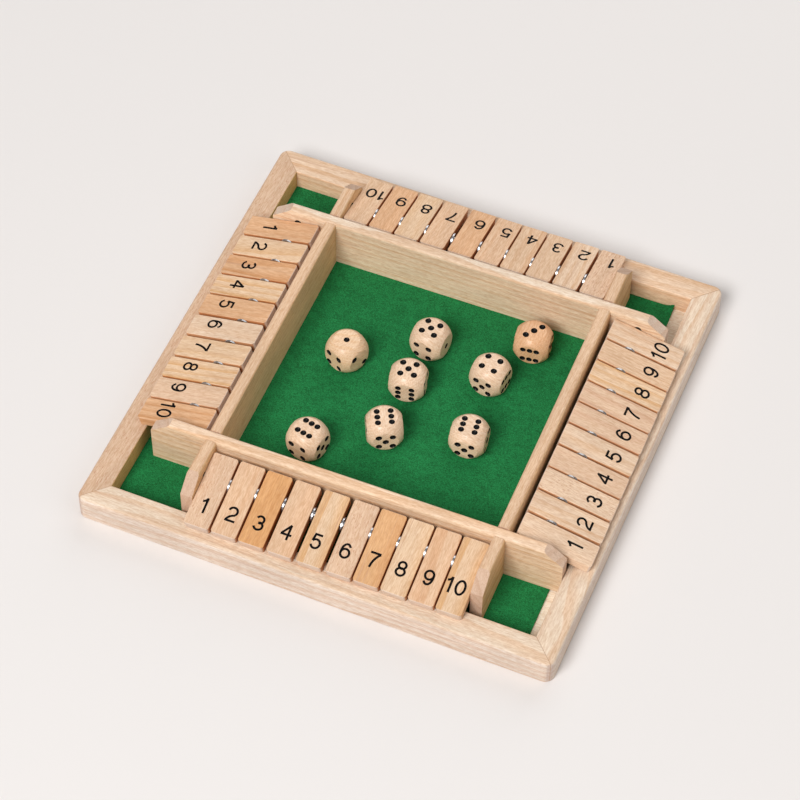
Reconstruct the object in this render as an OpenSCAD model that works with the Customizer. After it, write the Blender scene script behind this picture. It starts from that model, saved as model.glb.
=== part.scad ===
// Shut the box, wooden, for four players.
// A square board with a felted dice tray in the middle. On each side of the tray ten number tiles
// pivot on one steel rod. At rest their outer ends lie on the rail; a closed tile is flipped
// inwards and leans on the tray wall. The tiles set the size of the tray and of the board.
// Origin: middle of the underside. +X right, +Y away, +Z up, millimetres.

/* [Outer frame] */
// Width of a rail, seen from above
rail_w = 12; // [10:0.5:13]
// Height of the rails above the table
rail_h = 13.5; // [12:0.5:15]
// Radius of the board's four upright corners
corner_r = 4.5; // [3.5:0.5:6]
// Radius of the rails' outer top edge
rail_round = 1.6; // [0.8:0.1:3]
// Radius of the rails' other long edges
rail_ease = 0.6; // [0.3:0.1:1]

/* [Base and felt] */
// Thickness of the base board
base_t = 2.5; // [2:0.25:4]
// How far the base board reaches under the rails
rebate_w = 4; // [2:0.5:6]
// Gap all round between the base board and the rails
base_gap = 0.15; // [0.05:0.05:0.4]
// Thickness of the felt
felt_t = 1; // [0.6:0.1:1.5]
// Gap between the felt and the front, back and left rails
felt_gap = 0.8; // [0.2:0.1:2]
// Gap between the felt and the right rail, where the sheet was cut short
felt_gap_right = 6; // [0.2:0.1:8]

/* [Inner walls] */
// Height of the inner walls above the felt
wall_h = 26; // [24:0.5:29]
// Thickness of the inner walls
wall_t = 5.5; // [5:0.25:7]
// Radius of the inner walls' top edges
wall_ease = 1.4; // [0.4:0.1:1.8]
// Gap that the walls' sloped ends leave to the rails, before the shift
wall_end_gap = 3; // [2.9:0.1:4]
// How far the inner walls and tiles are glued to the right of the middle
inner_shift = 2; // [-2:0.5:2]
// How far the inner walls and tiles are glued askew, in degrees, where 0 is square to the rails
inner_turn = 0.75; // [-0.75:0.25:0.75]
// Length of the sloped cut at a wall's end, along the wall
slope_run = 9; // [4:0.5:11]
// Depth of the sloped cut at a wall's end, from the wall's top
slope_drop = 7; // [3:0.5:10]

/* [Number tiles] */
// Length of a tile
tile_l = 35; // [33:0.5:37]
// Width of a tile
tile_w = 11.8; // [11:0.05:12]
// Thickness of a tile
tile_t = 5; // [4.6:0.1:5.4]
// Radius of a tile's long and end edges
tile_ease = 0.4; // [0.3:0.1:1]
// Radius of a tile's corners, seen from above
tile_corner_r = 1.5; // [0.8:0.1:2]
// Even gap between two tiles, which holds one washer
tile_gap = 1.05; // [1.05:0.05:1.4]
// Even gap between the last tile and the wall at each end of a row
row_end_gap = 0.525; // [0.525:0.025:1]
// From the end of a tile, when it is level, to the outside of the board
tile_inset = 4.6; // [4:0.1:6]

/* [Rods and washers] */
// Diameter of the steel rods
rod_d = 3; // [2.4:0.1:3.2]
// Height of the rods' axes above the table
rod_z = 21.1; // [20:0.1:22]
// From the outer face of the tray wall to a rod's axis
rod_out = 13.45; // [13:0.05:14.5]
// From a tile's inner end to the rod's axis
rod_in_tile = 11.8; // [10:0.1:12.2]
// Clearance all round the rod in a tile
rod_clear = 0.08; // [0.03:0.01:0.1]
// Diameter of the blind holes in the walls, on whose floors the rods lie
rod_hole_d = 4.2; // [3.6:0.1:4.6]
// Depth of the blind holes
rod_hole_depth = 3.6; // [2:0.1:4.2]
// Gap between a rod's end and the bottom of its hole
rod_end_gap = 0.3; // [0.1:0.1:1]
// Outside diameter of a washer
washer_d = 7; // [6:0.1:7.4]
// Thickness of a washer
washer_t = 0.7; // [0.5:0.05:0.75]
// Clearance all round the rod in a washer, by which it hangs below the rod's axis
washer_clear = 0.5; // [0.1:0.1:0.6]

/* [Dice] */
// Edge length of a die
die_size = 16; // [14:0.5:18]
// How much a die's sharp corners are cut back by the ball that rounds them
die_corner = 3.95; // [3:0.05:4.6]
// Distance from the middle of a face to a pip, along each edge
pip_step = 3.1; // [2.6:0.1:3.6]
// Diameter of a pip
pip_d = 2.8; // [2:0.1:2.8]
// Depth of a pip
pip_depth = 0.8; // [0.3:0.1:1]

/* [Hidden] */
SIDES = ["front", "right", "back", "left"];
TILES = 10;
DICE = 8;
$fn = 48;

PINE = "#e3c49a";
PALE_PINE = "#ecd6b4";
STEEL = "#b8bcc0";
GREEN = "#1f7a3c";

floor_z = base_t + felt_t;                                // top of the felt
tile_pitch = tile_w + tile_gap;
tray = TILES * tile_pitch - tile_gap + 2 * row_end_gap;   // clear square inside the tray walls
wall_out = tray / 2 + wall_t;                             // from the middle to a wall's outer face
rod_r = wall_out + rod_out;                               // from the middle to a rod's axis
board_size = 2 * (rod_r + tile_l - rod_in_tile + tile_inset);
opening = board_size - 2 * rail_w;                        // clear square between the rails
long_wall_l = opening - 2 * wall_end_gap;
stub_l = long_wall_l / 2 - wall_out;
rod_l = tray + 2 * (rod_hole_depth - rod_end_gap);
die_ball = die_size * sqrt(3) / 2 - die_corner;           // radius of the ball
// The middle of a blind hole lies above the rod, because the rod lies on the hole's floor
hole_lift = (rod_hole_d - rod_d) / 2;

// A tile's outer bottom edge rests on the rail, so the tile slopes outwards and down by rest_tilt
tip_along = tile_l - rod_in_tile - tile_ease;
tip_below = tile_t / 2 - tile_ease;
tip_drop = rod_z - rail_h - tile_ease;
rest_tilt = asin(tip_drop / norm([tip_along, tip_below])) - atan2(tip_below, tip_along);

// The eight dice as they lie after a throw: x and y as shares of the way from the middle of the
// tray to its walls, degrees about Z, and quarter turns about X, Y and Z that bring a face up
DICE_PLACES = [
    [-0.576, 0.17, -22.5, [0, 0, 1]],
    [-0.071, 0.497, -6, [1, 0, 1]],
    [0.605, 0.758, 7.5, [0, -1, -1]],
    [0.434, 0.368, -7, [0, 1, 2]],
    [-0.078, 0.101, 10.5, [1, 0, 2]],
    [-0.517, -0.642, -12.5, [2, 0, 1]],
    [-0.072, -0.346, 28, [2, 0, 0]],
    [0.496, -0.186, 6, [2, 0, 0]]];
// Turns that carry the top face to the face of each number of pips
FACE_TURNS = [[0, 0, 0], [90, 0, 0], [0, 90, 0], [0, -90, 0], [-90, 0, 0], [180, 0, 0]];

// How far each tile has slid along its rod from its even place, from the player's left to right
SLIDES = [
    [-0.4, -0.5, -0.6, -0.2, 0.65, 1.4, 1.12, 0.84, 0.56, 0.28],
    [1.5, 1.55, 1.55, 1.3, 1.25, 1.1, 0.82, 0.55, 0.27, 0.15],
    [0.2, 0.4, 0.5, 0.22, -0.05, 0.1, 0.95, 0.85, 0.6, 0.4],
    [-0.1, -0.15, -0.35, -0.6, -0.8, -0.6, -0.35, -0.35, -0.6, -0.85]];

// Rectangle with exact round corners, its lower left corner at the origin
module soft_rect(w, h, r) {
    translate([r, 0]) square([w - 2 * r, h]);
    translate([0, r]) square([w, h - 2 * r]);
    for (x = [r, w - r]) for (y = [r, h - r]) translate([x, y]) circle(r);
}

// Turns an inner piece, made for the front, to the side with this number
module to_side(side) {
    translate([inner_shift, 0, 0]) rotate([0, 0, 90 * side + inner_turn]) children();
}

module base_board() {
    side = opening + 2 * (rebate_w - base_gap);
    color(PALE_PINE) translate([-side / 2, -side / 2, 0]) cube([side, side, base_t]);
}

module felt_lining() {
    w = opening - felt_gap - felt_gap_right;
    d = opening - 2 * felt_gap;
    color(GREEN) translate([-opening / 2 + felt_gap, -d / 2, base_t]) cube([w, d, felt_t]);
}

// Outline of a rail across its length: outer face at x = 0, step for the base board inside
module rail_outline() {
    difference() {
        union() {
            translate([rail_round, 0]) square([rail_w - rail_round - rail_ease, rail_h]);
            translate([0, rail_ease]) square([rail_w, rail_h - rail_round - rail_ease]);
            translate([rail_round, rail_h - rail_round]) circle(rail_round);
            translate([rail_w - rail_ease, rail_h - rail_ease]) circle(rail_ease);
            translate([rail_ease, rail_ease]) circle(rail_ease);
            translate([rail_ease, 0]) square([rail_w - rail_ease, rail_h / 2]);
            translate([rail_w - 2 * rail_ease, rail_h / 2])
                square([2 * rail_ease, rail_h / 2 - rail_ease]);
        }
        translate([rail_w - rebate_w, -1]) square([rebate_w + 1, base_t + 1]);
    }
}

// Half of a round corner of the board: the rail's outline turned about the corner's upright axis
module rail_corner() {
    intersection() {
        rotate_extrude() intersection() {
            translate([corner_r, 0]) mirror([1, 0]) rail_outline();
            square([corner_r, rail_h]);
        }
        translate([0, 0, -1]) linear_extrude(rail_h + 2)
            polygon([[0, 0], [-2 * corner_r, -2 * corner_r], [0, -2 * corner_r]]);
    }
}

// A front rail, mitred at both ends, with its half of the board's corner at each end
module rail(side) {
    half = board_size / 2;
    straight = half - corner_r;
    color(PINE) rotate([0, 0, 90 * side]) {
        intersection() {
            translate([-half, -half, 0]) rotate([90, 0, 90]) linear_extrude(board_size)
                rail_outline();
            translate([0, 0, -1]) linear_extrude(rail_h + 2)
                polygon([[0, 0], [-straight, -straight], [-straight, -half - 1],
                         [straight, -half - 1], [straight, -straight]]);
        }
        for (end = [0, 1]) mirror([end, 0, 0]) translate([-straight, -straight, 0]) rail_corner();
    }
}

// Upright wall from x = 0 to l with its outer face at y = 0, sloped off at the ends listed
module sloped_wall(l, sloped) {
    difference() {
        rotate([90, 0, 90]) linear_extrude(l) {
            square([wall_t, wall_h - wall_ease]);
            translate([wall_ease, wall_h - 2 * wall_ease])
                square([wall_t - 2 * wall_ease, 2 * wall_ease]);
            for (y = [wall_ease, wall_t - wall_ease])
                translate([y, wall_h - wall_ease]) circle(wall_ease);
        }
        for (end = sloped)
            translate([end * l, wall_t + 1, wall_h]) mirror([end, 0, 0]) rotate([90, 0, 0])
                linear_extrude(wall_t + 2)
                    polygon([[-1, 1], [-1, -slope_drop * (slope_run + 1) / slope_run],
                             [slope_run, 0], [slope_run, 1]]);
    }
}

// Blind hole for a rod, from the wall face at x = 0 into the wood towards +X
module rod_hole() {
    translate([-1, 0, rod_z + hole_lift]) rotate([0, 90, 0])
        cylinder(d = rod_hole_d, h = rod_hole_depth + 1);
}

// Front or back tray wall. Its two ends carry the rods of the left and right rows
module long_wall(side) {
    color(PINE) to_side(side) difference() {
        translate([-long_wall_l / 2, -wall_out, floor_z]) sloped_wall(long_wall_l, [0, 1]);
        for (x = [-rod_r, rod_r])
            translate([x, -tray / 2, 0]) rotate([0, 0, -90]) rod_hole();
    }
}

module side_walls() {
    color(PINE) for (side = [1, 3]) to_side(side)
        translate([-tray / 2, -wall_out, floor_z]) sloped_wall(tray, []);
}

// Four short walls from the long walls to near the rails, with the front and back rods' holes
module stub_walls() {
    color(PINE) for (side = [0, 2]) to_side(side) for (end = [-1, 1]) difference() {
        translate([end * (tray + wall_t) / 2 + wall_t / 2, -wall_out, floor_z])
            rotate([0, 0, -90]) translate([0, -wall_t, 0]) sloped_wall(stub_l, [1]);
        translate([end * tray / 2, -rod_r, 0]) rotate([0, 0, end > 0 ? 0 : 180]) rod_hole();
    }
}

module tile_rods() {
    color(STEEL) for (side = [0 : 3]) to_side(side)
        translate([-rod_l / 2, -rod_r, rod_z]) rotate([0, 90, 0]) cylinder(d = rod_d, h = rod_l);
}

// The washers hang on the rods, one between each two tiles
module washers() {
    color(STEEL) for (side = [0 : 3]) to_side(side) for (n = [1 : TILES - 1])
        translate([(tile_edge(side, n) + tile_w + tile_edge(side, n + 1) - washer_t) / 2, -rod_r,
                   rod_z - washer_clear])
            rotate([0, 90, 0]) difference() {
                cylinder(d = washer_d, h = washer_t);
                translate([0, 0, -1])
                    cylinder(d = rod_d + 2 * washer_clear, h = washer_t + 2);
            }
}

// Left edge of tile n, counted from the player's left
function tile_edge(side, n) =
    -tray / 2 + row_end_gap + (n - 1) * tile_pitch + SLIDES[side][n - 1];

// Tile about its rod: the rod's axis is X through the origin, the outer end points to -Y
module tile_blank() {
    outer = tile_l - rod_in_tile;
    difference() {
        intersection() {
            translate([0, -outer, -tile_t / 2]) linear_extrude(tile_t)
                soft_rect(tile_w, tile_l, tile_corner_r);
            translate([0, -outer, -tile_t / 2]) rotate([90, 0, 90]) linear_extrude(tile_w)
                soft_rect(tile_l, tile_t, tile_ease);
            translate([0, tile_l - outer, -tile_t / 2]) rotate([90, 0, 0]) linear_extrude(tile_l)
                soft_rect(tile_w, tile_t, tile_ease);
        }
        translate([-1, 0, 0]) rotate([0, 90, 0])
            cylinder(d = rod_d + 2 * rod_clear, h = tile_w + 2);
    }
}

module tile(side, n) {
    color(PINE) to_side(side) translate([tile_edge(side, n), -rod_r, rod_z])
        rotate([rest_tilt, 0, 0]) tile_blank();
}

// Places of the pips on the face with n pips, in steps from the face's middle
function pip_places(n) = concat(
    n % 2 == 1 ? [[0, 0]] : [],
    n > 1 ? [[-1, 1], [1, -1]] : [],
    n > 3 ? [[-1, -1], [1, 1]] : [],
    n == 6 ? [[-1, 0], [1, 0]] : []);

// Die about its middle, with one pip on top, two in front and three on the right
module die_blank() {
    dimple_r = (pow(pip_d / 2, 2) + pow(pip_depth, 2)) / (2 * pip_depth);
    difference() {
        intersection() {
            cube(die_size, center = true);
            sphere(die_ball);
        }
        for (n = [1 : 6]) rotate(FACE_TURNS[n - 1]) for (p = pip_places(n))
            translate([p[0] * pip_step, p[1] * pip_step, die_size / 2 - pip_depth + dimple_r])
                sphere(dimple_r);
    }
}

module die(n) {
    place = DICE_PLACES[n - 1];
    x = inner_shift + place[0] * tray / 2;
    y = place[1] * tray / 2;
    color(PALE_PINE) translate([x, y, floor_z + die_size / 2])
        rotate([0, 0, place[2]]) rotate(90 * place[3]) die_blank();
}

base_board();
felt_lining();
for (side = [0 : 3])
    rail(side);
long_wall(0);  // wall_front
long_wall(2);  // wall_back
side_walls();
stub_walls();
tile_rods();
washers();
for (side = [0 : 3]) for (n = [1 : TILES])
    tile(side, n);
for (n = [1 : DICE])
    die(n);
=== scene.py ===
# %% [markdown]
# # A shut the box game for four players, dressed
#
# The board, its walls, the rods, the number tiles and the dice come from the CAD frame at their real
# size, and they stay where they are. This script gives them their looks: pale pine with its growth
# rings, printed numbers, pressed green felt, bright washers and polished dice with painted pips.
#
# Lengths are in metres, as in the frame, and `MM` turns millimetres into metres. The origin is the
# middle of the board's underside, +X is to the right, +Y away from the front player and +Z up.

import math
import random

import bpy
from mathutils import Matrix, Vector


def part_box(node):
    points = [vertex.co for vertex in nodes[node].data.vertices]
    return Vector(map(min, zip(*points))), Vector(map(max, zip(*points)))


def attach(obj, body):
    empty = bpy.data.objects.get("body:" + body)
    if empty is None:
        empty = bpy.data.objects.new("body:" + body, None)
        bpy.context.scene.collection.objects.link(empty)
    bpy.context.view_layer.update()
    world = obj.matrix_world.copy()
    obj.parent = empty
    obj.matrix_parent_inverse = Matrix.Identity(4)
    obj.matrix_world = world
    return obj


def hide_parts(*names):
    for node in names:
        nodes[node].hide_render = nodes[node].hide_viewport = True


MM = 0.001
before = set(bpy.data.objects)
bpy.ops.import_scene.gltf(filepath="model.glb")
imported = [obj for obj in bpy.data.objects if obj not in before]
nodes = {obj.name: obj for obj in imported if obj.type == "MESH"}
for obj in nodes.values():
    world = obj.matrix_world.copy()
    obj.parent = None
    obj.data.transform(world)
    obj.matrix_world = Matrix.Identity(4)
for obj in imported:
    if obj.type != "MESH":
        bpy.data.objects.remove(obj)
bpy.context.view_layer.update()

# %% [markdown]
# ## The camera
#
# A product picture of a flat board is taken from high up with a long lens, so that the rows of tiles
# hardly converge. The camera is described as a photographer would: where it stands, how far it
# is turned to the left, how far it looks down, and a small roll of the tripod head.

# %% Place the camera
LENS_MM = 127.44
SENSOR_MM = 36
CAMERA_PLACE = (0.2851, -0.7109, 1.0215)
TURNED_LEFT, LOOKS_DOWN, ROLL = (math.radians(angle) for angle in (22.15, 52.98, 0.71))

bpy.ops.object.camera_add()
camera = bpy.context.object
camera.name = "camera"
camera.data.lens = LENS_MM
camera.data.sensor_width = SENSOR_MM
camera.matrix_world = (
    Matrix.Translation(CAMERA_PLACE)
    @ Matrix.Rotation(TURNED_LEFT, 4, "Z")
    @ Matrix.Rotation(math.pi / 2 - LOOKS_DOWN, 4, "X")
    @ Matrix.Rotation(ROLL, 4, "Z")
)
bpy.context.scene.camera = camera
print("camera stands", round(Vector(CAMERA_PLACE).length, 2), "m from the board")

# %% [markdown]
# ## Shader nodes by name
#
# Every finish below is a small network of shader nodes. Building one in the editor means adding a
# node, filling in its fields and drawing links. `add_node` does the three in one call: a field
# that is given a number gets the number, and a field that is given a socket gets a link.
# `calculate` is the same for one Math node, the workhorse of any procedural pattern. The last two
# helpers put a material on a piece and pick a piece for the next operator.

# %% Helpers for shader nodes
def add_node(tree, kind, fields=(), **settings):
    made = tree.nodes.new("ShaderNode" + kind)
    for name, value in settings.items():
        setattr(made, name, value)
    for name, value in dict(fields).items():
        if isinstance(value, bpy.types.NodeSocket):
            tree.links.new(value, made.inputs[name])
        else:
            made.inputs[name].default_value = value
    return made


def calculate(tree, operation, *values):
    made = add_node(tree, "Math", enumerate(values), operation=operation)
    return made.outputs[0]


def ramp(tree, value, low, high, to_low=0.0, to_high=1.0):
    """Maps low..high smoothly to to_low..to_high, and holds the ends."""
    fields = {"Value": value, "From Min": low, "From Max": high, "To Min": to_low, "To Max": to_high}
    made = add_node(tree, "MapRange", fields, interpolation_type="SMOOTHSTEP")
    return made.outputs[0]


def mix_colours(tree, share, first, second, blend="MIX"):
    fields = {0: share, 6: first, 7: second}
    return add_node(tree, "Mix", fields, data_type="RGBA", blend_type=blend).outputs[2]


def stretched_noise(tree, vector, stretch, detail=2.0, seed=0.0, curl=0.0):
    """Noise with `stretch` waves per millimetre along each axis, bent about by `curl`."""
    scaled = add_node(tree, "Mapping", {"Vector": vector, "Scale": stretch, "Location": (seed,) * 3})
    fields = {
        "Vector": scaled.outputs[0], "Scale": 1.0, "Detail": detail, "Roughness": 0.6, "Distortion": curl
    }
    return add_node(tree, "TexNoise", fields).outputs[0]


def place_in_mm(tree):
    """A piece's own coordinates, in millimetres."""
    place = add_node(tree, "TexCoord").outputs["Object"]
    return add_node(tree, "Mapping", {"Vector": place, "Scale": (1 / MM,) * 3}).outputs[0]


def new_material(name, **constants):
    """A material whose constant values sit on the Principled shader's own sockets."""
    made = bpy.data.materials.new(name)
    made.use_nodes = True
    shader = made.node_tree.nodes["Principled BSDF"]
    for socket, value in constants.items():
        shader.inputs[socket.replace("_", " ")].default_value = value
    return made, made.node_tree, shader


def dress(piece, material):
    """Puts one material on a whole piece."""
    piece.data.materials.clear()
    piece.data.materials.append(material)


def pick(piece):
    """Selects one piece alone and makes it active, as a click on it does."""
    bpy.ops.object.select_all(action="DESELECT")
    bpy.context.view_layer.objects.active = piece
    piece.select_set(True)


print("helpers ready")

# %% [markdown]
# ## Pine, as it grows
#
# All the wood here is pine. Its look comes from how it grows: rings round the middle of the
# trunk, each pale and soft on its inner side and darker and orange on its outer side. A plank is cut
# out of the trunk, so its faces show those rings as lines, long waves or flames.
#
# A flat picture of grain would have to be laid on each face, and would not meet at the edges. A solid
# pattern is better: the colour is worked out from a point's distance to the trunk's middle, so
# each piece looks sawn from the solid, end grain included. The node group below takes a point in
# the trunk, in millimetres with X along the trunk, and gives colour, roughness and surface height.

# %% The pine node group
# How far fine noise pushes a ring, in mm, and how much strength every year has and some years add
FINE_PUSH = 0.9
EVERY_YEAR, SOME_YEARS = 0.25, 0.75


def group_socket(tree, name, kind, side):
    tree.interface.new_socket(name, in_out=side, socket_type="NodeSocket" + kind)


pine = bpy.data.node_groups.new("pine", "ShaderNodeTree")
for name, kind in (
    ("Point", "Vector"), ("End", "Float"), ("Early wood", "Color"), ("Late wood", "Color"),
    ("Ring width", "Float"), ("Wander", "Float"), ("Figure", "Float"), ("Flecks", "Float"),
):
    group_socket(pine, name, kind, "INPUT")
for name, kind in (("Colour", "Color"), ("Roughness", "Float"), ("Height", "Float")):
    group_socket(pine, name, kind, "OUTPUT")
inside = pine.nodes.new("NodeGroupInput").outputs

# The trunk is never quite round or straight, so a slow noise pushes the rings in and out.
point = add_node(pine, "SeparateXYZ", {"Vector": inside["Point"]}).outputs
slow = stretched_noise(pine, inside["Point"], (0.012, 0.045, 0.045), detail=1.0)
fine = stretched_noise(pine, inside["Point"], (0.05, 0.35, 0.35), detail=2.0, seed=7.0)
radius = calculate(
    pine, "SQRT",
    calculate(pine, "MULTIPLY_ADD", point[1], point[1], calculate(pine, "MULTIPLY", point[2], point[2])),
)
pushed = calculate(pine, "MULTIPLY_ADD", slow, inside["Wander"], radius)
pushed = calculate(pine, "MULTIPLY_ADD", fine, FINE_PUSH, pushed)

# Within a ring the wood darkens slowly and then stops short; some years are stronger than others.
years = calculate(pine, "DIVIDE", pushed, inside["Ring width"])
season = calculate(pine, "FRACT", years)
darkening = ramp(pine, season, 0.25, 0.88)
stop = ramp(pine, season, 0.93, 1.0, 1.0, 0.0)
year = add_node(pine, "TexWhiteNoise", {"W": calculate(pine, "FLOOR", years)}, noise_dimensions="1D")
strength = calculate(pine, "MULTIPLY_ADD", year.outputs[0], SOME_YEARS, EVERY_YEAR)
late = calculate(pine, "MULTIPLY", calculate(pine, "MULTIPLY", darkening, stop), strength)
colour = mix_colours(
    pine, calculate(pine, "MULTIPLY", late, inside["Figure"]), inside["Early wood"], inside["Late wood"]
)
print("pine rings take", len(pine.nodes), "nodes")

# %% [markdown]
# ### Fibres, flecks and end grain
#
# Close up, pine has fine fibres along the grain and short dark flecks where resin channels were
# cut open. Both are noise that is stretched along the trunk. Where a face is cut across the
# grain, the open pores swallow light and the wood looks greyer and duller.

# %% Finish the pine group
GREY_END = (0.70, 0.59, 0.52, 1)
DARK_FIBRE = (0.89, 0.82, 0.75, 1)
LIGHT_FIBRE = (1.09, 1.13, 1.17, 1)
DARK_BLOTCH, LIGHT_BLOTCH = (0.95, 0.95, 0.95, 1), (1.05, 1.05, 1.05, 1)
FLECK_BROWN = (0.54, 0.28, 0.17, 1)
THREAD_PINK = (0.56, 0.32, 0.20, 1)
THREAD_SHARE, GREY_SHARE = 0.55, 0.62
ROUGH_FIBRE, SMOOTH_FIBRE, END_ROUGHER = 0.66, 0.56, 0.25

fibres = stretched_noise(pine, inside["Point"], (0.3, 1.9, 1.9), detail=4.0)
blotches = stretched_noise(pine, inside["Point"], (0.03, 0.11, 0.11), detail=1.0, seed=31.0)
channels = stretched_noise(pine, inside["Point"], (0.5, 2.3, 2.3), detail=1.0, seed=5.0)
threads = stretched_noise(pine, inside["Point"], (0.012, 0.9, 0.9), detail=2.0, seed=17.0)
for tint in (
    mix_colours(pine, ramp(pine, fibres, 0.3, 0.7), DARK_FIBRE, LIGHT_FIBRE),
    mix_colours(pine, ramp(pine, blotches, 0.3, 0.7), DARK_BLOTCH, LIGHT_BLOTCH),
):
    colour = mix_colours(pine, 1.0, colour, tint, "MULTIPLY")
thread = calculate(pine, "MULTIPLY", ramp(pine, threads, 0.58, 0.7), inside["Figure"])
colour = mix_colours(pine, calculate(pine, "MULTIPLY", thread, THREAD_SHARE), colour, THREAD_PINK)
flecks = calculate(pine, "MULTIPLY", ramp(pine, channels, 0.6, 0.7), inside["Flecks"])
colour = mix_colours(pine, flecks, colour, FLECK_BROWN)
colour = mix_colours(pine, calculate(pine, "MULTIPLY", inside["End"], GREY_SHARE), colour, GREY_END)
roughness = calculate(
    pine, "MULTIPLY_ADD", inside["End"], END_ROUGHER, ramp(pine, fibres, 0.3, 0.7, ROUGH_FIBRE, SMOOTH_FIBRE)
)
height = calculate(pine, "SUBTRACT", calculate(pine, "ADD", fibres, late), flecks)
group_out = pine.nodes.new("NodeGroupOutput")
for name, socket in (("Colour", colour), ("Roughness", roughness), ("Height", height)):
    pine.links.new(socket, group_out.inputs[name])
print("pine group complete:", len(pine.nodes), "nodes")

# %% [markdown]
# ### Sawing a piece out of the trunk
#
# A piece's own coordinates have to be turned until X runs along its grain, then moved to the
# place in the trunk it was cut from. A Mapping node does both, and a second one turns the surface
# normal the same way to find the end grain. The nearer a piece lies to the trunk's middle, the more
# its rings curve: far out they are straight lines, close in they form flames.

# %% Tones of wood and kinds of grain
# Colours of the early and the late wood
TONES = {
    "birch": ((0.89, 0.78, 0.64, 1), (0.76, 0.60, 0.42, 1)),
    "pale": ((0.785, 0.63, 0.485, 1), (0.70, 0.46, 0.29, 1)),
    "cream": ((0.785, 0.577, 0.413, 1), (0.68, 0.42, 0.24, 1)),
    "straw": ((0.787, 0.555, 0.365, 1), (0.68, 0.37, 0.15, 1)),
    "peach": ((0.77, 0.512, 0.33, 1), (0.64, 0.33, 0.16, 1)),
    "rosy": ((0.745, 0.517, 0.353, 1), (0.64, 0.38, 0.24, 1)),
    "tan": ((0.76, 0.523, 0.345, 1), (0.63, 0.36, 0.19, 1)),
    "amber": ((0.745, 0.447, 0.255, 1), (0.61, 0.29, 0.12, 1)),
    "resin": ((0.735, 0.42, 0.205, 1), (0.52, 0.20, 0.05, 1)),
    "honey": ((0.73, 0.385, 0.165, 1), (0.58, 0.25, 0.08, 1)),
}
# Ring width in mm, how far the rings wander in mm, strength of the rings, amount of flecks, and
# distance from the trunk's middle in mm
GRAINS = {
    "plain": (2.6, 6, 0.35, 0.3, 60),
    "fine": (1.3, 4, 0.5, 0.35, 55),
    "veined": (3.2, 5, 0.8, 0.25, 42),
    "flame": (4.2, 14, 0.95, 0.2, 16),
    "flecked": (1.8, 6, 0.4, 0.8, 50),
    "wavy": (3.6, 13, 0.75, 0.3, 26),
    "striped": (7.0, 5, 1.0, 0.25, 60),
}
PLAIN = (1, 1, 1)
MITRE_BROWN = (0.42, 0.22, 0.12, 1)
GRAIN_DEPTH = 0.05 * MM
# How far askew a piece may be sawn, in degrees, and how long the trunk is, in mm
MOST_ASKEW, TRUNK_LENGTH = 2.5, 900


def along(direction, droop=0.0):
    """The turn that brings a level direction, in degrees about Z, and then a droop, onto +X."""
    return Matrix.Rotation(-droop, 3, "Y") @ Matrix.Rotation(-math.radians(direction), 3, "Z")


def mitre_line(tree, place):
    """A thin line where the rails meet at 45 degrees, where |x| equals |y|."""
    parts = add_node(tree, "SeparateXYZ", {"Vector": place}).outputs
    across, along_it = (calculate(tree, "ABSOLUTE", parts[axis]) for axis in range(2))
    off = calculate(tree, "ABSOLUTE", calculate(tree, "SUBTRACT", across, along_it))
    return ramp(tree, off, 0.05 * MM, 0.4 * MM, 0.6, 0.0)


def pine_material(
    name, centre, turn, tone, grain, chance, end_grain=1.0, lightness=1.0, mitred=False,
    near_shading=PLAIN, far_shading=PLAIN, ends=PLAIN
):
    """Pine for a piece with that centre; `chance` picks its place in the trunk.

    The two tints after `mitred` colour the upright faces on either side of the grain's direction
    with painted light and shade, and `ends` tints the faces across it.
    """
    material, tree, shader = new_material(name, Specular_IOR_Level=0.3)
    distance = GRAINS[grain][-1]
    turn = Matrix.Rotation(math.radians(chance.uniform(-MOST_ASKEW, MOST_ASKEW)), 3, "Z") @ turn
    bearing = math.radians(chance.uniform(20, 75))
    in_trunk = Vector(
        (chance.uniform(0, TRUNK_LENGTH), distance * math.cos(bearing), distance * math.sin(bearing))
    )
    coordinates = add_node(tree, "TexCoord").outputs
    fields = {
        "Vector": coordinates["Object"], "Scale": (1 / MM,) * 3, "Rotation": turn.to_euler(),
        "Location": in_trunk - turn @ centre / MM,
    }
    place = add_node(tree, "Mapping", fields)
    fields = {"Vector": coordinates["Normal"], "Rotation": turn.to_euler()}
    facing = add_node(tree, "Mapping", fields, vector_type="NORMAL")
    lengthwise, sideways = add_node(tree, "SeparateXYZ", {"Vector": facing.outputs[0]}).outputs[:2]
    across_grain = ramp(tree, calculate(tree, "ABSOLUTE", lengthwise), 0.3, 0.55)
    end = calculate(tree, "MULTIPLY", across_grain, end_grain)
    wood = tree.nodes.new("ShaderNodeGroup")
    wood.node_tree = pine
    for socket, value in zip(("Early wood", "Late wood"), TONES[tone]):
        wood.inputs[socket].default_value = [part * lightness for part in value[:3]] + [1]
    for socket, value in zip(("Ring width", "Wander", "Figure", "Flecks"), GRAINS[grain]):
        wood.inputs[socket].default_value = value
    tree.links.new(place.outputs[0], wood.inputs["Point"])
    tree.links.new(end, wood.inputs["End"])
    fields = {"Height": wood.outputs["Height"], "Strength": 0.35, "Distance": GRAIN_DEPTH}
    bump = add_node(tree, "Bump", fields)
    colour = wood.outputs["Colour"]
    # Painted light and shade: the upright faces on either side get tints of their own
    near_shading_mask = ramp(tree, sideways, -0.9, -0.5, 1.0, 0.0)
    far_shading_mask = ramp(tree, sideways, 0.5, 0.9)
    for share, tint in ((near_shading_mask, near_shading), (far_shading_mask, far_shading), (across_grain, ends)):
        if tint != PLAIN:
            colour = mix_colours(tree, share, colour, (*tint, 1), "MULTIPLY")
    if mitred:
        colour = mix_colours(tree, mitre_line(tree, coordinates["Object"]), colour, MITRE_BROWN)
    tree.links.new(colour, shader.inputs["Base Color"])
    tree.links.new(wood.outputs["Roughness"], shader.inputs["Roughness"])
    tree.links.new(bump.outputs[0], shader.inputs["Normal"])
    return material


def middle(node):
    low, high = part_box(node)
    return (low + high) / 2


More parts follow.
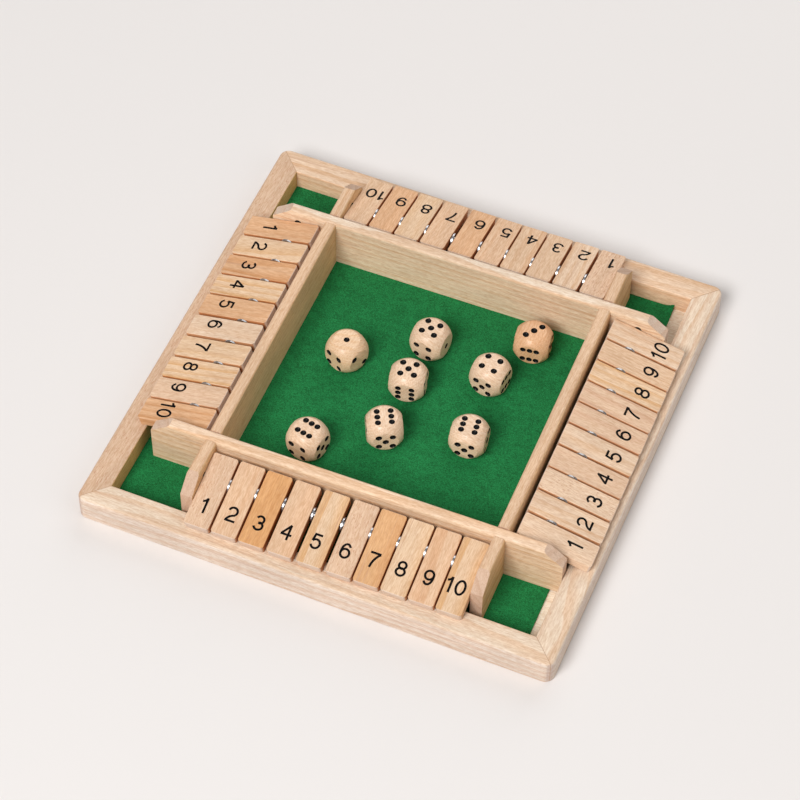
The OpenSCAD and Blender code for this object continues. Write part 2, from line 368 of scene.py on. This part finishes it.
print(len(TONES), "tones of pine,", len(GRAINS), "kinds of grain")

# %% [markdown]
# ## The frame, the walls and the base
#
# The four rails and the inner walls are planed strips, so the grain runs along each of them. Every
# strip gets a material of its own, because two strips out of one trunk place would match where they
# meet, and real mitres never do.

# %% Dress the frame, the walls and the base
chance = random.Random(11)
ALONG_X, ALONG_Y = along(0), along(90)
# Grain direction, tone, kind of grain, lightness, and the painted light and shade tint of the face
# toward the front or right
STRIPS = {
    "rail_front": (ALONG_X, "pale", "wavy", 1.01, (0.92, 0.95, 1.04)),
    "rail_right": (ALONG_Y, "pale", "wavy", 1.0, (1.02, 1.08, 1.2)),
    "rail_back": (ALONG_X, "cream", "veined", 1.0, (1.15, 1.1, 1.06)),
    "rail_left": (ALONG_Y, "rosy", "flecked", 0.9, (1.15, 1.13, 0.72)),
    "wall_front": (ALONG_X, "cream", "veined", 1.1, (0.92, 0.92, 0.88)),
    "wall_back": (ALONG_X, "pale", "veined", 1.05, (1.02, 0.97, 0.9)),
    "side_walls": (ALONG_Y, "tan", "fine", 0.98, (1.12, 1.1, 0.95)),
    "stub_walls": (ALONG_Y, "tan", "veined", 0.97, (1.05, 1.02, 0.84)),
    "base_board": (ALONG_X, "birch", "plain", 1.0, PLAIN),
}
# Saw cuts across a strip drink more lacquer, so they are darker and a little redder
SAWN = (0.86, 0.81, 0.79)
for node, (turn, tone, grain, lightness, near_shading) in STRIPS.items():
    wood = pine_material(
        node + "_pine", middle(node), turn, tone, grain, chance, end_grain=0.5, lightness=lightness,
        mitred=node.startswith("rail"), near_shading=near_shading, ends=SAWN,
    )
    dress(nodes[node], wood)
print("strips dressed:", ", ".join(STRIPS))

# %% [markdown]
# ## The number tiles
#
# The tiles were cut from many strips, so neighbours differ: some are pale, some pink, a few glow
# amber. One word for the tone and one for the grain describe each tile, from 1 to 10.

# %% Dress the tiles
TILES = {
    "front": "rosy flecked, peach plain, honey plain, peach plain, straw striped, rosy flecked, "
             "resin striped, straw striped, peach veined, straw striped",
    "right": "cream plain, cream veined, cream flecked, rosy plain, cream veined, rosy veined, "
             "rosy flame, straw veined, tan fine, cream veined",
    "back": "rosy flecked, cream veined, tan plain, tan veined, peach plain, amber plain, "
            "peach plain, straw plain, amber fine, tan fine",
    "left": "amber plain, straw veined, amber flame, straw veined, amber plain, cream plain, "
            "straw plain, straw veined, rosy plain, amber veined",
}
# The inner frame is glued on three quarters of a degree askew
OUTWARD = {"front": -89.25, "right": 0.75, "back": 90.75, "left": 180.75}
REST_TILT = math.radians(13.066)
# Each row is lightened or darkened by the way it faces the lights: painted light and shade
ROW_SHADING = {"front": 0.96, "right": 1.01, "back": 1.02, "left": 0.99}
# The sides of tiles that face a neighbour get a dark reddish tint: painted shade and warm bounce light of
# the narrow gaps
GAP_SHADE = (0.75, 0.5, 0.33)

for side, words in TILES.items():
    for number, look in enumerate(words.split(", "), 1):
        node = f"tile_{side}_{number}"
        tone, grain = look.split()
        turn = along(OUTWARD[side], REST_TILT)
        wood = pine_material(
            node + "_pine", middle(node), turn, tone, grain, chance, lightness=ROW_SHADING[side],
            near_shading=PLAIN if number == 1 else GAP_SHADE, far_shading=PLAIN if number == 10 else GAP_SHADE,
        )
        dress(nodes[node], wood)
print("tiles dressed:", sum(len(words.split(",")) for words in TILES.values()))

# %% [markdown]
# ## The felt
#
# A sheet of wool felt is glued on the base board, and the inner walls stand on it. Felt has no
# weave: it is a mat of curled fibres, so its colour is a mix of fine light and dark specks with a
# broader, softer cloudiness where the mat is thicker. The sheet was cut by hand, so it ends short of
# the right rail, and its far right corner has come loose and stands up a little.

# %% Cut the felt sheet and lift its corner
FELT_W, FELT_L, FELT_T = 191.9 * MM, 197.8 * MM, 1.0 * MM
FELT_MIDDLE_X = -2.95 * MM
# The right edge was cut askew, by this share of its length
ASKEW = 0.014
FELT_TOP = 3.5 * MM
CURL_R, CURL_H = 6 * MM, 2.2 * MM
bpy.ops.object.select_all(action="DESELECT")
bpy.ops.mesh.primitive_grid_add(
    x_subdivisions=96, y_subdivisions=98, size=1, location=(FELT_MIDDLE_X, 0, FELT_TOP)
)
felt = bpy.context.object
felt.name = "felt_sheet"
felt.scale = (FELT_W, FELT_L, 1)
bpy.ops.object.transform_apply(location=True, rotation=False, scale=True)
solidify = felt.modifiers.new("thickness", "SOLIDIFY")
solidify.thickness = FELT_T
solidify.offset = -1
bpy.ops.object.modifier_apply(modifier=solidify.name)

corner_x = FELT_MIDDLE_X + FELT_W / 2
corner_y = FELT_L / 2
for vertex in felt.data.vertices:
    away = math.hypot(corner_x - vertex.co.x, corner_y - vertex.co.y)
    if away < CURL_R:
        vertex.co.z += CURL_H * (1 - away / CURL_R) ** 2
    from_left = 0.5 + (vertex.co.x - FELT_MIDDLE_X) / FELT_W
    vertex.co.x -= ASKEW * vertex.co.y * from_left
bpy.ops.object.shade_smooth_by_angle(angle=math.radians(40))
print("felt sheet:", len(felt.data.polygons), "faces")

# %% The felt's fibres
DARK_GREEN, LIGHT_GREEN = (0.002, 0.08, 0.017, 1), (0.014, 0.255, 0.07, 1)
FIBRE_SHARE, CLOUD_SHARE = 0.85, 0.15

felt_green, tree, shader = new_material(
    "green_felt", Roughness=0.95, Specular_IOR_Level=0.3, Sheen_Weight=0.06, Sheen_Roughness=0.4
)
place = place_in_mm(tree)
fibres = stretched_noise(tree, place, (1.7, 2.2, 1.9), detail=5, seed=3, curl=1.4)
clouds = stretched_noise(tree, place, (0.22, 0.3, 0.2), detail=3, seed=9)
shade = calculate(
    tree, "MULTIPLY_ADD", fibres, FIBRE_SHARE, calculate(tree, "MULTIPLY", clouds, CLOUD_SHARE)
)
green = mix_colours(tree, ramp(tree, shade, 0.36, 0.64), DARK_GREEN, LIGHT_GREEN)
fuzz = add_node(tree, "Bump", {"Height": fibres, "Strength": 0.5, "Distance": 0.15 * MM})
tree.links.new(green, shader.inputs["Base Color"])
tree.links.new(fuzz.outputs[0], shader.inputs["Normal"])
dress(felt, felt_green)
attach(felt, "board")
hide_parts("felt_lining")
print("felt dressed")

# %% [markdown]
# ## The numbers
#
# The numbers are screen printed: a film of black ink with strokes of one width. They could be set
# in Blender's own font, but that one has a bare stick for a 1 and pointed corners. Bending each
# stroke as a curve gives the plain, open figures that sign painters use, and the same few
# arcs serve several figures: a 9 is a 6 stood on its head.

# %% Bend the strokes of the ten figures
INK_WIDTH = 1.06 * MM
# Half the height and half the width of a figure, in mm
TALL, WIDE = 3.15, 1.93
# A straight stroke ends square, so it reaches half a stroke further than a bend does
REACH = TALL + 0.5
FIGURE_STEP = 5.0


def arc(x, y, half_width, half_height, start, end):
    """Points in mm on part of an ellipse, from one angle in degrees to the other."""
    steps = max(2, round(abs(end - start) / 12))
    angles = [math.radians(start + (end - start) * step / steps) for step in range(steps + 1)]
    return [(x + half_width * math.cos(angle), y + half_height * math.sin(angle)) for angle in angles]


def upside_down(strokes):
    return [[(-x, -y) for x, y in stroke] for stroke in strokes]


SIX = [
    arc(0, 0, WIDE, TALL, 38, 180) + [(-WIDE, -1.1)],
    arc(0, -1.15, WIDE, TALL - 1.15, 0, 360),
]
FIGURES = {
    "0": [arc(0, 0, WIDE, TALL, 0, 360)],
    "1": [[(0.5, -REACH), (0.5, REACH)], arc(-1.7, 3.95, 2.2, 2.2, -15, -82)],
    "2": [
        arc(0, 1.3, WIDE, TALL - 1.3, 172, -30) + arc(3.3, -3.4, 5.2, 3.4, 115, 172),
        [(-WIDE - 0.5, -TALL), (WIDE + 0.4, -TALL)],
    ],
    "3": [
        arc(0, 1.5, 1.65, TALL - 1.5, 160, -80) + [(-0.45, 0)],
        [(-0.45, 0)] + arc(0, -1.4, WIDE, TALL - 1.4, 80, -165),
    ],
    "4": [
        [(0.95, -REACH), (0.95, REACH - 0.2)],
        [(1.1, REACH - 0.2), (-2.2, -1.2)],
        [(-2.5, -1.2), (2.45, -1.2)],
    ],
    "5": [
        [(1.9, TALL), (-1.3, TALL)],
        [(-1.15, REACH), (-1.7, 0.0)],
        arc(0, -1.1, WIDE, TALL - 1.1, 148, -162),
    ],
    "6": SIX,
    "7": [[(-WIDE - 0.45, TALL), (WIDE + 0.45, TALL)], arc(5.2, -4.4, 5.95, 8.6, 120, 175)],
    "8": [arc(0, 1.6, 1.6, TALL - 1.6, 0, 360), arc(0, -1.45, WIDE, TALL - 1.45, 0, 360)],
    "9": upside_down(SIX),
}


def bend_number(name, number):
    """The number as flat black strokes, lying in the XY plane with its middle at the origin."""
    figures = str(number)
    curve = bpy.data.curves.new(name, "CURVE")
    curve.dimensions = "3D"
    curve.bevel_depth = INK_WIDTH / 2
    curve.bevel_resolution = 1
    curve.use_fill_caps = True
    for place, figure in enumerate(figures):
        shift = FIGURE_STEP * (place - (len(figures) - 1) / 2)
        for stroke in FIGURES[figure]:
            spline = curve.splines.new("POLY")
            closed = math.dist(stroke[0], stroke[-1]) < 0.01
            points = stroke[:-1] if closed else stroke
            spline.points.add(len(points) - 1)
            spline.use_cyclic_u = closed
            for point, (x, y) in zip(spline.points, points):
                point.co = ((x + shift) * MM, y * MM, 0, 1)
    piece = bpy.data.objects.new(name, curve)
    bpy.context.collection.objects.link(piece)
    return piece


print("figures drawn:", " ".join(FIGURES))

# %% [markdown]
# Each number lies on its own tile and turns with it. It stands between the rod and the tile's outer
# end, upright for the player on that side, and the film is only some hundredths of a millimetre
# thick.

# %% Print the numbers on the tiles
HALF_TILE_T = 2.5 * MM
# From the rod to the middle of a tile, in mm
ROD_TO_MIDDLE = 5.7
# The round strokes are pressed flat, to this share of their height
PRESSED = 0.05
# Distance from the rod of the first and the last number in a row, in mm, and how far off the
# middle of its tile each number was printed
FROM_ROD = {"front": (12.95, 10.95), "right": (13.05, 12.8), "back": (14.75, 12.2), "left": (11, 11.65)}
OFF_MIDDLE = {
    "front": (0, 0.2, 0, -0.35, -0.6, -0.7, -0.5, -0.45, -0.7, -1.4),
    "right": (0.8, 0.2, -0.2, 0.2, 0, 0.1, -0.2, 0, -0.2, -0.6),
    "back": (-1.5, -1, -1.2, -1.1, -1.2, -1, -1.2, -1, -1.3, -1.4),
    "left": (-0.2, -0.7, -1, -1.2, -1.5, -1.8, -1.2, -1.6, -1.7, -1.3),
}


def on_tile(side, number):
    """The place of a tile's number: X to the right, Y toward the middle of the board."""
    first, last = FROM_ROD[side]
    from_rod = first + (last - first) * (number - 1) / 9
    bearing = math.radians(OUTWARD[side])
    outward = Vector((math.cos(bearing), math.sin(bearing), 0))
    up = Vector((0, 0, 1))
    downhill = outward * math.cos(REST_TILT) - up * math.sin(REST_TILT)
    normal = outward * math.sin(REST_TILT) + up * math.cos(REST_TILT)
    across = normal.cross(downhill)
    spot = middle(f"tile_{side}_{number}") + normal * HALF_TILE_T
    spot += (downhill * (from_rod - ROD_TO_MIDDLE) + across * OFF_MIDDLE[side][number - 1]) * MM
    turn = Matrix((across, -downhill, normal)).transposed().to_4x4()
    return Matrix.Translation(spot) @ turn


ink, tree, shader = new_material(
    "black_ink", Base_Color=(0.003, 0.0025, 0.0025, 1), Specular_IOR_Level=0.12
)
wear = stretched_noise(tree, place_in_mm(tree), (2, 2, 2), detail=3, seed=4)
tree.links.new(ramp(tree, wear, 0.2, 0.9, 0.5, 0.75), shader.inputs["Roughness"])

for side in TILES:
    for number in range(1, 11):
        piece = bend_number(f"number_{side}_{number}", number)
        piece.scale = (1, 1, PRESSED)
        pick(piece)
        bpy.ops.object.convert(target="MESH")
        bpy.ops.object.transform_apply(location=False, rotation=False, scale=True)
        piece = bpy.context.object
        piece.matrix_world = on_tile(side, number)
        bpy.ops.object.transform_apply(location=True, rotation=True, scale=True)
        dress(piece, ink)
        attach(piece, f"tile_{side}_{number}")
print("numbers printed:", 10 * len(TILES))

# %% [markdown]
# ## The dice
#
# A wooden die is turned in a drum until its corners are worn round: it is what a cube and a ball
# have in common. So the die starts as a ball, and six cuts give it its flats. The pips are drilled
# with a round-nosed bit and painted a dull black, which leaves shallow dark dimples. One die is
# modelled with all its pips, and the others are copies of its mesh.

# %% Cut one die out of a ball
DIE_SIZE = 16 * MM
HALF_DIE = DIE_SIZE / 2
# The smaller the ball, the rounder the die's corners
BALL_R = 9.906 * MM
PIP_STEP, PIP_D, PIP_DEPTH = 3.1 * MM, 2.8 * MM, 0.8 * MM
MOST_WORN = 0.6 * MM
# The turns in degrees, about X and then Y, that bring the upper face to where each number is
FACE_TURNS = {1: (0, 0), 2: (90, 0), 3: (0, 90), 4: (0, -90), 5: (-90, 0), 6: (180, 0)}


def pip_places(count):
    """The places of a face's pips, in steps from its middle."""
    places = []
    if count % 2:
        places += [(0, 0)]
    if count > 1:
        places += [(-1, 1), (1, -1)]
    if count > 3:
        places += [(-1, -1), (1, 1)]
    if count == 6:
        places += [(-1, 0), (1, 0)]
    return places


bpy.ops.object.select_all(action="DESELECT")
bpy.ops.mesh.primitive_uv_sphere_add(segments=96, ring_count=64, radius=BALL_R)
die = bpy.context.object
die.name = "die_blank"
bpy.ops.object.mode_set(mode="EDIT")
for axis in range(3):
    for way in (-1, 1):
        normal = [0, 0, 0]
        normal[axis] = way
        bpy.ops.mesh.select_all(action="SELECT")
        bpy.ops.mesh.bisect(
            plane_co=[HALF_DIE * part for part in normal], plane_no=normal, use_fill=True, clear_outer=True
        )
bpy.ops.mesh.select_all(action="SELECT")
bpy.ops.mesh.remove_doubles(threshold=0.01 * MM)
bpy.ops.object.mode_set(mode="OBJECT")
worn = die.modifiers.new("worn edges", "BEVEL")
worn.width = MOST_WORN
worn.segments = 4
worn.limit_method = "ANGLE"
worn.angle_limit = math.radians(20)
bpy.ops.object.modifier_apply(modifier=worn.name)
print("die blank:", len(die.data.polygons), "faces")

# %% Drill the pips
bare_wood = new_material("die_wood")[0]
pip_paint, tree, shader = new_material(
    "pip_paint", Base_Color=(0.004, 0.004, 0.004, 1), Specular_IOR_Level=0.15
)
brushed = stretched_noise(tree, place_in_mm(tree), (0.9, 0.9, 0.9), detail=3, seed=4)
tree.links.new(ramp(tree, brushed, 0.3, 0.7, 0.3, 0.5), shader.inputs["Roughness"])

# The ball that cuts a dimple of this width and depth
drill_r = ((PIP_D / 2) ** 2 + PIP_DEPTH ** 2) / (2 * PIP_DEPTH)
drills = []
for count, turns in FACE_TURNS.items():
    about_x, about_y = (Matrix.Rotation(math.radians(turn), 3, axis) for turn, axis in zip(turns, "XY"))
    face_turn = about_y @ about_x
    for across, up in pip_places(count):
        spot = face_turn @ Vector((across * PIP_STEP, up * PIP_STEP, HALF_DIE - PIP_DEPTH + drill_r))
        bpy.ops.mesh.primitive_uv_sphere_add(segments=32, ring_count=24, radius=drill_r, location=spot)
        drills.append(bpy.context.object)
for drill in drills:
    drill.select_set(True)
bpy.ops.object.join()
drill = bpy.context.object
dress(drill, pip_paint)
dress(die, bare_wood)
cut = die.modifiers.new("pips", "BOOLEAN")
cut.operation = "DIFFERENCE"
cut.object = drill
cut.material_mode = "TRANSFER"
pick(die)
bpy.ops.object.modifier_apply(modifier=cut.name)
bpy.data.objects.remove(drill)
bpy.ops.object.shade_smooth_by_angle(angle=math.radians(32))
print("pips drilled:", len(drills), "so the die has", len(die.data.polygons), "faces")

# %% [markdown]
# The eight dice lie where they were thrown. A yaw turns each on the felt, and quarter turns about
# X, Y and Z bring the right number up. The third die was made of a warmer, darker wood.

# %% Throw the dice
TRAY_MIDDLE = Vector((2, 0, 3.5)) * MM
HALF_TRAY = 64.25 * MM
# Place across and along the tray in half trays, yaw in degrees, quarter turns about X, Y and Z
THROWS = [
    (-0.576, 0.17, -22.5, (0, 0, 1)),
    (-0.071, 0.497, -6, (1, 0, 1)),
    (0.605, 0.758, 7.5, (0, -1, -1)),
    (0.434, 0.368, -7, (0, 1, 2)),
    (-0.078, 0.101, 10.5, (1, 0, 2)),
    (-0.517, -0.642, -12.5, (2, 0, 1)),
    (-0.072, -0.346, 28, (2, 0, 0)),
    (0.496, -0.186, 6, (2, 0, 0)),
]
DIE_TONES = ["straw", "cream", "amber", "cream", "cream", "cream", "cream", "cream"]
DIE_LIGHTNESS, POLISH, POLISH_ROUGHNESS = 1.07, 0.35, 0.22


def quarter_turns(turns):
    about_x, about_y, about_z = (
        Matrix.Rotation(math.radians(90 * turn), 4, axis) for turn, axis in zip(turns, "XYZ")
    )
    return about_z @ about_y @ about_x


for number, ((x, y, yaw, turns), tone) in enumerate(zip(THROWS, DIE_TONES), 1):
    piece = die if number == len(THROWS) else die.copy()
    if piece is not die:
        piece.data = die.data.copy()
        bpy.context.collection.objects.link(piece)
    piece.name = f"pipped_die_{number}"
    spot = TRAY_MIDDLE + Vector((x * HALF_TRAY, y * HALF_TRAY, HALF_DIE))
    turn = Matrix.Rotation(math.radians(yaw), 4, "Z") @ quarter_turns(turns)
    piece.matrix_world = Matrix.Translation(spot) @ turn
    pick(piece)
    bpy.ops.object.transform_apply(location=True, rotation=True, scale=True)
    grain = along(yaw + 90 * (number % 2), 0.3)
    wood = pine_material(
        f"die_{number}_wood", spot, grain, tone, "fine", chance, end_grain=0.0, lightness=DIE_LIGHTNESS
    )
    shader = wood.node_tree.nodes["Principled BSDF"]
    shader.inputs["Coat Weight"].default_value = POLISH
    shader.inputs["Coat Roughness"].default_value = POLISH_ROUGHNESS
    piece.data.materials[0] = wood
    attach(piece, f"die_{number}")
    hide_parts(f"die_{number}")
bpy.data.materials.remove(bare_wood)
print("dice thrown:", len(THROWS))

# %% [markdown]
# ## Rods, washers and painted shade in the holes
#
# The rods are drawn steel wire: bright, with fine scratches along it. The washers are stamped and
# tumbled, so they shine with a slight mottle. A near black lining of painted shade sits in the
# walls' holes, where a rod goes in.

# %% Dress the steel and line the holes
def steel_material(name, colour, stretch, low, high):
    """Steel whose scratches make it rougher and smoother, from `low` to `high`."""
    material, tree, shader = new_material(name, Base_Color=colour, Metallic=1.0)
    scratches = stretched_noise(tree, place_in_mm(tree), stretch, detail=4, seed=5)
    tree.links.new(ramp(tree, scratches, 0.3, 0.7, low, high), shader.inputs["Roughness"])
    bump = add_node(tree, "Bump", {"Height": scratches, "Strength": 0.15, "Distance": 0.01 * MM})
    tree.links.new(bump.outputs[0], shader.inputs["Normal"])
    return material


dress(nodes["tile_rods"], steel_material("drawn_steel", (0.50, 0.50, 0.51, 1), (6, 6, 6), 0.25, 0.45))
dress(nodes["washers"], steel_material("zinc_plate", (0.58, 0.58, 0.60, 1), (2, 2, 2), 0.22, 0.42))

# Painted shade: a near black, mottled colour for the holes' lining and the marks over the holes
BROWN_HOLE_SHADE, BLACK_HOLE_SHADE = (0.022, 0.012, 0.007, 1), (0.006, 0.004, 0.003, 1)
hole_shade_paint, tree, shader = new_material("painted_hole_shade", Roughness=0.9, Specular_IOR_Level=0.1)
shade_mottle = stretched_noise(tree, place_in_mm(tree), (1.5, 1.5, 1.5), detail=3, seed=2)
hole_shade = mix_colours(tree, ramp(tree, shade_mottle, 0.3, 0.7), BLACK_HOLE_SHADE, BROWN_HOLE_SHADE)
tree.links.new(hole_shade, shader.inputs["Base Color"])

# The rods' distance from the middle of the inner frame, and that frame's own place and turn
ROD_R = 83.2 * MM
INNER_SHIFT, INNER_TURN = 2 * MM, math.radians(0.75)
HOLE_R, HOLE_DEPTH, HOLE_Z, LINING = 2.08 * MM, 3.55 * MM, 21.7 * MM, 0.06 * MM
# Thin films keep this far behind the face of the wall
SET_BACK = 0.02 * MM


def cylinders_at_rod_ends(radius, height, depth, reach, ends="NGON"):
    """A cylinder at each end of each rod, in one mesh, with its middle `reach` from the frame's."""
    bpy.ops.object.select_all(action="DESELECT")
    made = []
    for across in (-1, 1):
        for way in (-1, 1):
            off, deep = across * ROD_R, way * reach
            for spot, turn in (((off, deep), (math.pi / 2, 0)), ((deep, off), (0, math.pi / 2))):
                spot = Matrix.Rotation(INNER_TURN, 3, "Z") @ Vector((*spot, height))
                bpy.ops.mesh.primitive_cylinder_add(
                    vertices=48, radius=radius, depth=depth, end_fill_type=ends,
                    rotation=(*turn, INNER_TURN), location=spot + Vector((INNER_SHIFT, 0, 0))
                )
                made.append(bpy.context.object)
    for piece in made:
        piece.select_set(True)
    bpy.ops.object.join()
    bpy.ops.object.transform_apply(location=True, rotation=True, scale=True)
    return bpy.context.object


# A thin near black lining of painted shade inside each hole
lining = cylinders_at_rod_ends(
    HOLE_R, HOLE_Z, HOLE_DEPTH, HALF_TRAY + HOLE_DEPTH / 2 + SET_BACK, ends="NOTHING"
)
lining.name = "painted_shade_in_holes"
hole_shade = lining.modifiers.new("hole_shade", "SOLIDIFY")
hole_shade.thickness = LINING
hole_shade.offset = -1
bpy.ops.object.modifier_apply(modifier=hole_shade.name)
dress(lining, hole_shade_paint)
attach(lining, "board")
print("holes lined:", len(lining.data.polygons), "faces")

# %% [markdown]
# A dark mark of painted shade lies on the wall just over each hole. It starts as a thin disc on the
# wall, and a Boolean modifier takes away what lies in front of the hole itself.

# %% Paint shade on the walls over the holes
MARK_R, MARK_Z, MARK_T = 1.6 * MM, 22.7 * MM, 0.05 * MM
shade_marks = cylinders_at_rod_ends(MARK_R, MARK_Z, MARK_T, HALF_TRAY - MARK_T / 2)
shade_marks.name = "painted_shade_marks"
openings = cylinders_at_rod_ends(HOLE_R, HOLE_Z, 4 * MARK_T, HALF_TRAY - MARK_T / 2)
cut = shade_marks.modifiers.new("opening", "BOOLEAN")
cut.operation = "DIFFERENCE"
cut.object = openings
pick(shade_marks)
bpy.ops.object.modifier_apply(modifier=cut.name)
bpy.data.objects.remove(openings)
dress(shade_marks, hole_shade_paint)
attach(shade_marks, "board")
print("scorch marks:", len(shade_marks.data.polygons), "faces")

# %% [markdown]
# ## Floor and light
#
# A pale floor, a strong soft box in front of the board, high up and a little to the left, a weaker
# one behind it, a faint one at the right, and an even pale surround. The soft boxes are wide, so
# shadows are only soft edges close to the wood.

# %% Lay the floor and set up the lights
SURROUND_STRENGTH = 0.215


def soft_box(name, place, size, watts):
    """A square soft box, `size` metres wide, that faces the board."""
    bpy.ops.object.light_add(type="AREA", location=place)
    light = bpy.context.object
    light.name = name
    light.data.size = size
    light.data.energy = watts
    light.rotation_euler = Vector(place).to_track_quat("Z", "Y").to_euler()


bpy.ops.mesh.primitive_plane_add(size=8)
floor = bpy.context.object
floor.name = "floor"
dress(floor, new_material("floor_paint", Base_Color=(0.80, 0.765, 0.745, 1), Roughness=0.9)[0])

soft_box("key", (-0.37, -1.87, 2.05), 1.2, 69)
soft_box("back", (0.0, 1.3, 0.9), 1.4, 10)
soft_box("right", (1.2, -0.2, 1.0), 1.0, 2.8)

surround = bpy.data.worlds.new("surround")
surround.use_nodes = True
background = surround.node_tree.nodes["Background"]
background.inputs["Color"].default_value = (1, 0.985, 0.97, 1)
background.inputs["Strength"].default_value = SURROUND_STRENGTH
bpy.context.scene.world = surround
bpy.context.scene.view_settings.view_transform = "Standard"

# %% [markdown]
# ## Finish

# %% Finish
print("finished")
